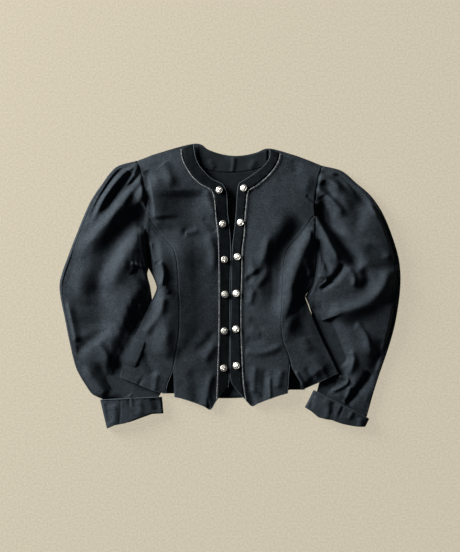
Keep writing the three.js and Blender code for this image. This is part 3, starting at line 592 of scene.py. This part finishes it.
def paintedHighlightEdge(name, lines, radius):
    # the turned edge of the cloth as a round tube, coloured lighter than the cloth: a painted highlight
    lines = [np.array(line) for line in lines]
    for line in lines:
        line[:, 2] = np.maximum(line[:, 2], radius + edges["above"])
    tubePiece(name, lines, radius, "edge")


def clothPiece(name, points, kind, node, sheet, outward=1):
    # a thin shell whose outer side is the grid of points
    cut = sheets[sheet]
    rows, columns = points.shape[:2]
    bm = bmesh.new()
    uvs = bm.loops.layers.uv.new("cut")
    bmesh.ops.create_grid(bm, x_segments=columns - 1, y_segments=rows - 1, size=0.5, calc_uvs=True)
    for vert, spot in zip(bm.verts, points.reshape(-1, 3)):
        vert.co = spot
    for face in bm.faces:
        face.smooth = True
        for loop in face.loops:
            loop[uvs].uv = (loop[uvs].uv[0] * cut["flat"][0], loop[uvs].uv[1] * cut["flat"][1])
    bm.normal_update()
    if outward * sum(f.normal.z * f.calc_area() for f in bm.faces) < 0:
        bmesh.ops.reverse_faces(bm, faces=bm.faces)
    piece = meshPiece(name, meshFrom(name, bm), kind)
    thick = piece.modifiers.new("wall", "SOLIDIFY")
    thick.thickness = cut["wall"]
    thick.offset = -1
    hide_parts(node)


def areaOf(points):
    a = points[1:, 1:] - points[:-1, :-1]
    b = points[1:, :-1] - points[:-1, 1:]
    return 0.5 * np.linalg.norm(np.cross(a, b), axis=2).sum()


def report(name, points):
    width = awayFrom(points, "first")[:, -1].max()
    length = awayFrom(points, "top")[-1].max()
    print(f"{name}: width {width:.3f}, length {length:.3f}, area {areaOf(points):.4f} m2")


# The back and the inside of the neck

def makeBack():
    points = finer(gridOf("back"), 3, 5)
    points[..., 2] = np.maximum(points[..., 2], 1.5 * mm)      # its wall stays above the table
    report("back", points)
    clothPiece("backCloth", points, "wool", "back", "back")


facingFolds = [
    [6, 266, 5, 248, 2, 234, 2.0, 4, 4, 0.1, 0.1],
    [-44, 262, -40, 250, -34, 242, 1.6, 6, 6, 0.2, 0.2],
    [48, 262, 44, 250, 36, 242, 1.4, 6, 6, 0.2, 0.2],
]


def makeFacing():
    points = finer(gridOf("back_facing", wide=True), 8, 6)
    rise = foldRise(points, facingFolds) + waves(points, 0.03, 0.9 * mm, 5)
    points[..., 2] += np.maximum(rise, -0.3 * mm)
    report("facing", points)
    clothPiece("neckFacing", points, "facing", "back_facing", "facing")


liningFolds = [
    [-19, 232, -18, 222, -18, 208, -1.6, 2, 9, 0, 0.5],
    [-4, 187, 2, 160, 4, 122, 3.2, 6, 9, 0.3, 0.4],
    [-30, 215, -18, 190, -8, 170, 1.5, 8, 8, 0.4, 0.4],
    [14, 205, 12, 160, 9, 118, -1.2, 6, 8, 0.3, 0.4],
]


def makeLining():
    points = finer(gridOf("lining_back"), 24, 12)
    points[..., 2] += np.maximum(foldRise(points, liningFolds), -0.2 * mm)
    report("lining", points)
    clothPiece("backLining", points, "lining", "lining_back", "lining")


# The fronts

ventTop = -160 * mm
frontSeam = {"depth": 0.5, "width": 1.3, "ridge": 0.12}
armholeSeam = {"depth": 1.2, "width": 1.8, "ridge": 0.2}


def makeFronts(word):
    folds = bodyFolds[word]
    points = finer(gridOf(f"front_centre_{word}"), 9, 11)
    calm = loose(points, "first", 15, 27) * loose(points, "top", 0, 12)
    shapeCloth(points, folds, calm, clothFall["lowestFront"])
    meetEdge(points, "last")
    points[..., 2] += sewnEdge(points, "last", **frontSeam)
    report("front", points)
    clothPiece(f"frontCentre_{word}", points, "wool", f"front_centre_{word}", "front")
    makeLint(f"frontLint_{word}", points)
    side = finer(gridOf(f"front_side_{word}"), 9, 10)
    shapeCloth(side, folds, loose(side, "last", 1, 9), clothFall["lowestFront"])
    meetEdge(side, "first")
    meetEdge(side, "last", 0.5 * mm)
    side[..., 2] += sewnEdge(side, "first", **frontSeam)
    report("side", side)
    clothPiece(f"frontSide_{word}", side, "wool", f"front_side_{word}", "side")
    # the vent edges and hems get lighter tubes: a painted highlight along the turned edges
    ventEdges = [line[line[:, 1] < ventTop] for line in (points[:, -1], side[:, 0])]
    paintedHighlightEdge(f"hemEdge_{word}", ventEdges + [side[-1], points[-1]], edges["hem"])
    under = finer(gridOf(f"vent_underlay_{word}"), 4, 4)
    report("underlay", under)
    clothPiece(f"ventUnderlay_{word}", under, "wool", f"vent_underlay_{word}", "underlay")


# The sleeves

sleeveEnd = {"depth": 5 * mm, "at": 20 * mm, "reach": 13 * mm}      # where it goes into its cuff


def sinkSleeve(points, share):
    above = np.maximum(points[..., 2] - clothFall["flat"], 0)
    points[..., 2] -= clothFall["sleeve"] * share * above


def makeSleeves(word):
    lowest = clothFall["lowestSleeve"]
    points = finer(gridOf(f"sleeve_upper_{word}"), 9, 7)
    calm = loose(points, "last", 1, 10) * loose(points, "first", 1, 8)
    calm *= 0.3 + 0.7 * loose(points, "top", 0, 7)
    calm *= loose(points, "bottom", 18, 36)
    toCuff = awayFrom(points, "bottom")
    sinkSleeve(points, 0.35 + 0.65 * loose(points, "top", 0, 30))
    inner = 5.2 * mm + clothFall["rise"] * awayFrom(points, "first")
    points[..., 2] = np.minimum(points[..., 2], inner)
    sink = sleeveEnd["depth"] * np.exp(-((toCuff - sleeveEnd["at"]) / sleeveEnd["reach"]) ** 2)
    points[..., 2] -= np.minimum(sink, np.maximum(points[..., 2] - lowest, 0))
    shapeCloth(points, sleeveFolds[word], calm, lowest)
    meetEdge(points, "top", 0.7 * mm)
    meetEdge(points, "last", 0.6 * mm)
    points[..., 2] += sewnEdge(points, "top", **armholeSeam)
    makeLint(f"sleeveLint_{word}", points)
    report("upper sleeve", points)
    clothPiece(f"upperSleeve_{word}", points, "wool", f"sleeve_upper_{word}", "upper sleeve")
    under = finer(gridOf(f"sleeve_under_{word}", up=-1, turnLimit=1.2), 3, 3)
    sinkSleeve(under, 1)
    under[..., 2] = np.maximum(under[..., 2], 0)
    report("under sleeve", under)
    clothPiece(f"underSleeve_{word}", under, "wool", f"sleeve_under_{word}", "under sleeve", outward=-1)


# Each cuff: the two ends of its free top edge and of its mouth, how far the mouth strays from a
# straight line along its run, how far the upper layer is drawn back there, and its folds
cuffLook = {
    "right": {
        "top": [(-139, -227), (-266, -233)],
        "mouth": [(-136, -261), (-252, -292)],
        "stray": [(-252, 0), (-236, 3), (-205, 0.6), (-174, 3.7), (-160, 5), (-136, 0)],
        "drawn": [(-252, 0), (-215, 0), (-196, 3.2), (-150, 3.0), (-136, 0.5)],
        "folds": [
            [-226, -234, -225, -256, -227, -284, -1.1, 1.5, 1.5, 0, 0],
            [-209, -226, -207, -238, -206, -250, -1.6, 2.5, 2.5, 0, 0.5],
            [-203, -226, -202, -238, -200, -248, 1.4, 2.5, 2.5, 0, 0.5],
            [-162, -224, -154, -240, -152, -260, -3.0, 8, 8, 0.1, 0.1],
            [-242, -238, -238, -262, -241, -286, 2.0, 6, 6, 0.2, 0.2],
            [-192, -230, -186, -250, -192, -268, 1.8, 7, 7, 0.2, 0.2],
            [-256, -236, -253, -258, -250, -284, -1.4, 5, 5, 0.2, 0.2],
        ],
    },
    "left": {
        "top": [(171, -213), (285, -272)],
        "mouth": [(153, -248), (277, -288)],
        "stray": [(153, 0), (166, -1), (181, -6), (209, 0), (228, -1.5), (259, -2), (277, 0)],
        "drawn": [(153, 0), (200, 0.4), (240, 1.4), (277, 0)],
        "folds": [
            [231, -245, 226, -257, 219, -272, -1.4, 1.8, 1.8, 0.1, 0.3],
            [224, -242, 220, -253, 213, -266, 1.2, 2.5, 2.5, 0.1, 0.4],
            [249, -254, 245, -263, 239, -272, 2.0, 4, 4, 0.2, 0.3],
            [171, -218, 165, -236, 161, -252, -1.8, 4, 4, 0.1, 0.2],
            [188, -226, 196, -248, 190, -270, 2.2, 8, 8, 0.2, 0.2],
            [263, -266, 263, -279, 259, -291, 2.0, 6, 6, 0.2, 0.2],
            [206, -234, 207, -249, 203, -268, -1.8, 5, 5, 0.2, 0.3],
        ],
    },
}


def across(ends, x):
    # y of the straight line through two ends
    (x0, y0), (x1, y1) = ends
    return y0 + (x - x0) * (y1 - y0) / (x1 - x0)


def cuffTopPaintedHighlight(word, spots, onTop):
    # the thick turned edge along the top of the shown side, as a lighter tube: a painted highlight
    look = cuffLook[word]
    x = spots[:, 0] / mm
    ends = sorted(p[0] for p in look["top"])
    line = []
    for at in np.linspace(ends[0] + 2, ends[1] - 2, 26):
        near = (np.abs(x - at) < 3.5) & onTop
        if near.any():
            y = across(look["top"], x[np.abs(x - at).argmin()])
            line.append((at * mm, y * mm, spots[near, 2].max()))
    paintedHighlightEdge(f"cuffEdge_{word}", [line], edges["cuff"])


def makeCuff(word):
    look = cuffLook[word]
    bm = solidFaces(f"cuff_{word}")
    bmesh.ops.join_triangles(bm, faces=bm.faces, angle_face_threshold=0.9, angle_shape_threshold=1.5)
    for length in (12, 6, 3.2):
        long = [e for e in bm.edges if e.calc_length() > length * mm]
        bmesh.ops.subdivide_edges(bm, edges=long, cuts=1, use_grid_fill=True)
    spots = np.array([v.co[:] for v in bm.verts])
    x, y = spots[:, 0] / mm, spots[:, 1] / mm
    top, mouth = across(look["top"], x), across(look["mouth"], x)
    down = np.clip((top - y) / (top - mouth), 0, 1)
    upper = step(spots[:, 2], 6 * mm, 12 * mm)
    stray = np.interp(x, *zip(*look["stray"])) + upper * np.interp(x, *zip(*look["drawn"]))
    rise = foldRise(spots[None], look["folds"])[0] + waves(spots[None], 0.02, 0.5 * mm, 4)[0]
    cuffTopPaintedHighlight(word, spots, (down < 0.12) & (upper > 0.9))
    for vert, shift, lift in zip(bm.verts, stray * down ** 2, rise * upper):
        vert.co.y += shift * mm
        vert.co.z += lift
    for face in bm.faces:
        face.smooth = True
    name = f"cuffCloth_{word}"
    piece = meshPiece(name, meshFrom(name, bm), "wool")
    rim = piece.modifiers.new("softRim", "BEVEL")
    rim.width = 0.6 * mm
    rim.segments = 2
    rim.angle_limit = 0.9
    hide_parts(f"cuff_{word}")


# Velvet band, twisted cord and buttons

def tubePiece(name, lines, radius, kind):
    # round tubes along lines of points
    curve = bpy.data.curves.new(name, "CURVE")
    curve.dimensions = "3D"
    curve.bevel_depth = radius
    curve.bevel_resolution = 1
    curve.use_fill_caps = True
    for line in lines:
        spline = curve.splines.new("POLY")
        spline.points.add(len(line) - 1)
        for point, spot in zip(spline.points, line):
            point.co = (*spot, 1)
    temporary = bpy.data.objects.new(name + "Line", curve)
    bpy.context.scene.collection.objects.link(temporary)
    mesh = bpy.data.meshes.new_from_object(temporary.evaluated_get(bpy.context.evaluated_depsgraph_get()))
    bpy.data.objects.remove(temporary)
    mesh.name = name
    for face in mesh.polygons:
        face.use_smooth = True
    meshPiece(name, mesh, kind)


def evenly(line, spacing):
    # points at even distances along a line
    lengths = np.concatenate([[0], np.cumsum(np.linalg.norm(np.diff(line, axis=0), axis=1))])
    at = np.linspace(0, lengths[-1], max(2, round(lengths[-1] / spacing)))
    return np.stack([np.interp(at, lengths, line[:, k]) for k in range(3)], axis=1)


cordLook = {"radius": 0.55 * mm, "pitch": 4.6 * mm, "perTurn": 9, "apart": 0.9}


def twistedCord(name, line):
    # two plies that wind round each other
    line = evenly(line, cordLook["pitch"] / cordLook["perTurn"])
    forward = np.gradient(line, axis=0)
    forward /= np.linalg.norm(forward, axis=1)[:, None]
    sideways = np.cross(forward, [0, 0, 1])
    sideways /= np.linalg.norm(sideways, axis=1)[:, None]
    upward = np.cross(sideways, forward)
    turn = 2 * math.pi * np.arange(len(line)) / cordLook["perTurn"]
    plies = []
    for phase in (0, math.pi):
        out = np.cos(turn + phase)[:, None] * sideways + np.sin(turn + phase)[:, None] * upward
        plies.append(line + out * cordLook["radius"] * cordLook["apart"])
    tubePiece(name, plies, cordLook["radius"], "cord")


bandLook = {"edgeDrop": 0.8 * mm, "edgeWidth": 1.3, "cordLift": 0.2 * mm, "edgeLift": 0.3 * mm}


def makeBand(word):
    bottom = gridOf(f"velvet_band_{word}")
    points = finer(bottom[:, [0, 1]], 8, 10)
    report("band", points)
    edge = np.minimum(awayFrom(points, "first"), awayFrom(points, "last")) / mm
    points[..., 2] -= bandLook["edgeDrop"] * np.exp(-(edge / bandLook["edgeWidth"]) ** 2)
    points[..., 2] += waves(points, 0.02, 0.35 * mm, 2)
    clothPiece(f"velvetBand_{word}", points, "velvet", f"velvet_band_{word}", "band")
    twistedCord(f"bandCord_{word}", smoothAlong(bottom, 8)[:, -1] + [0, 0, bandLook["cordLift"]])
    # a lighter tube along the band's inner edge: a painted highlight
    paintedHighlightEdge(f"bandEdge_{word}", [points[:, 0] + [0, 0, bandLook["edgeLift"]]], edges["band"])


buttonLook = {
    "petals": 6,
    "rimTwists": 26,
    "rings": 26,
    "spokes": 72,
    "outline": (0.0, 0.70, 0.93, 1.0, 0.97),    # how far out, from the middle of the dome to the rim
    "rimShare": 0.42,                           # of the height, under the dome
    "relief": 0.9 * mm,
}


def buttonBody(radius, tall):
    # a dome on a rounded rim with a flat back
    look = buttonLook
    bm = bmesh.new()
    outs = np.interp(np.linspace(0, 4, look["rings"]), range(5), look["outline"])
    rim = len(outs) - 5         # the last ring of the dome
    verts = []
    for i, out in enumerate(outs):
        dome = look["rimShare"] + (1 - look["rimShare"]) * math.sqrt(max(0.0, 1 - out * out))
        height = dome if i <= rim else look["rimShare"] * (1 - (i - rim) / 4)
        verts.append(bm.verts.new((out * radius, 0, tall * height)))
    verts.append(bm.verts.new((0.8 * radius, 0, 0)))
    verts.append(bm.verts.new((0, 0, 0)))
    profile = [bm.edges.new(pair) for pair in zip(verts, verts[1:])]
    bmesh.ops.spin(bm, geom=verts + profile, angle=2 * math.pi, steps=look["spokes"], axis=(0, 0, 1),
                   cent=(0, 0, 0), use_merge=True)
    bmesh.ops.remove_doubles(bm, verts=bm.verts, dist=1e-6)
    return bm


def buttonRelief(out, turn):
    # how high the petals, the middle boss and the twisted rim stand, from 0 to 1
    petal = math.cos(buttonLook["petals"] * turn / 2) ** 2
    leaf = math.exp(-((out - 0.42) / (0.08 + 0.16 * petal)) ** 2) * petal ** 0.7
    boss = math.exp(-(out / 0.13) ** 4)
    twist = 0.72 + 0.28 * math.sin(buttonLook["rimTwists"] * turn + 9 * out)
    return max(leaf, boss, math.exp(-((out - 0.86) / 0.09) ** 4) * twist)


def makeButton(word, number):
    node = nodes[f"button_{word}_{number}"]
    spots = np.array([v.co[:] for v in node.data.vertices])
    spots = np.unique(spots.round(7), axis=0)
    middle = spots.mean(axis=0)
    axis = np.linalg.svd(spots - middle)[2][2]
    axis = axis if axis[2] > 0 else -axis
    heights = (spots - middle) @ axis
    radius = np.linalg.norm(spots - middle - np.outer(heights, axis), axis=1).max()
    base, tall = heights.min(), heights.max() - heights.min()
    bm = buttonBody(radius, tall)
    hollow = bm.verts.layers.float.new("hollow")
    spin = random.Random(f"{word}{number}").uniform(0, 2 * math.pi)
    for vert in bm.verts:
        vert[hollow] = 0.4
        if vert.co.z <= tall * 0.3:
            continue
        out = math.hypot(vert.co.x, vert.co.y) / radius
        relief = buttonRelief(out, math.atan2(vert.co.y, vert.co.x) + spin)
        if out < 0.97:
            vert.co.z += (relief - 0.6) * buttonLook["relief"]
        if vert.co.z > tall * 0.3:
            vert[hollow] = 1 - min(1, relief * 1.3)
    place = Vector((0, 0, 1)).rotation_difference(Vector(axis)).to_matrix().to_4x4()
    bmesh.ops.transform(bm, matrix=Matrix.Translation(Vector(middle + axis * base)) @ place, verts=bm.verts)
    bmesh.ops.recalc_face_normals(bm, faces=bm.faces)
    for face in bm.faces:
        face.smooth = True
    name = f"silverButton_{word}_{number}"
    piece = meshPiece(name, meshFrom(name, bm), "silver")
    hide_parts(node.name)


# Floor, light and camera

studio = {
    "floor": (0.63, 0.57, 0.445, 1),
    "floorSize": 3,
    "glow": 0.84,               # the floor's own light, which evens it out
    "shadowShare": 0.09,        # how much of its colour takes shadows
    "frameHeight": 1.1316,      # metres of floor from top to bottom of the picture
    "cameraHeight": 5.0,
    "middle": (0, 0.0205),
    "room": 0.075,
    "window": (-3.0, 1.75, 1.15),
    "windowPower": 760,
    "windowSize": 2.0,
}


def makeFloor():
    bm = bmesh.new()
    bmesh.ops.create_grid(bm, x_segments=1, y_segments=1, size=studio["floorSize"])
    mesh = meshFrom("floor", bm)
    material, tree, shader = newMaterial("paleFloor")
    place = addNode(tree, "ShaderNodeTexCoord").outputs["Object"]
    grain = addNode(tree, "ShaderNodeTexNoise", {"Vector": place, "Scale": 260, "Detail": 2})
    light, dark = ([c * share for c in studio["floor"][:3]] + [1] for share in (1.09, 0.91))
    colour = ramp(tree, grain.outputs["Fac"], [(0.3, dark), (0.7, light)])
    tree.links.new(mixColours(tree, "MULTIPLY", 1, colour, plainColour(tree, grey(studio["shadowShare"]))),
                   shader.inputs["Base Color"])
    tree.links.new(colour, shader.inputs["Emission Color"])
    shader.inputs["Emission Strength"].default_value = studio["glow"]
    shader.inputs["Roughness"].default_value = 0.95
    shader.inputs["Specular IOR Level"].default_value = 0.0
    mesh.materials.append(material)
    floor = bpy.data.objects.new("floor", mesh)
    bpy.context.scene.collection.objects.link(floor)


def makeLight():
    world = bpy.data.worlds.new("softRoom")
    world.use_nodes = True
    background = world.node_tree.nodes["Background"]
    background.inputs["Color"].default_value = (0.95, 0.97, 1, 1)
    background.inputs["Strength"].default_value = studio["room"]
    bpy.context.scene.world = world
    window = bpy.data.lights.new("windowLight", "AREA")
    window.shape = "DISK"
    window.size = studio["windowSize"]
    window.energy = studio["windowPower"]
    window.color = (1, 0.99, 0.97)
    lamp = bpy.data.objects.new("windowLight", window)
    lamp.location = studio["window"]
    lamp.rotation_euler = (-Vector(studio["window"])).to_track_quat("-Z", "Y").to_euler()
    bpy.context.scene.collection.objects.link(lamp)
    bpy.context.scene.view_settings.view_transform = "Standard"


def makeCamera():
    data = bpy.data.cameras.new("overhead")
    data.sensor_width = 36
    data.lens = data.sensor_width * studio["cameraHeight"] / studio["frameHeight"]
    data.clip_end = 50
    camera = bpy.data.objects.new("overhead", data)
    camera.location = (*studio["middle"], studio["cameraHeight"])
    bpy.context.scene.collection.objects.link(camera)
    bpy.context.scene.camera = camera


makeCamera()
makeFloor()
makeLight()
print("studio made")

makeBack()
makeFacing()
makeLining()
print("back made")
for word in halves:
    makeFronts(word)
    makeSleeves(word)
    makeCuff(word)
    makeBand(word)
    for number in range(1, 7):
        makeButton(word, number)
    print(f"{word} half made")
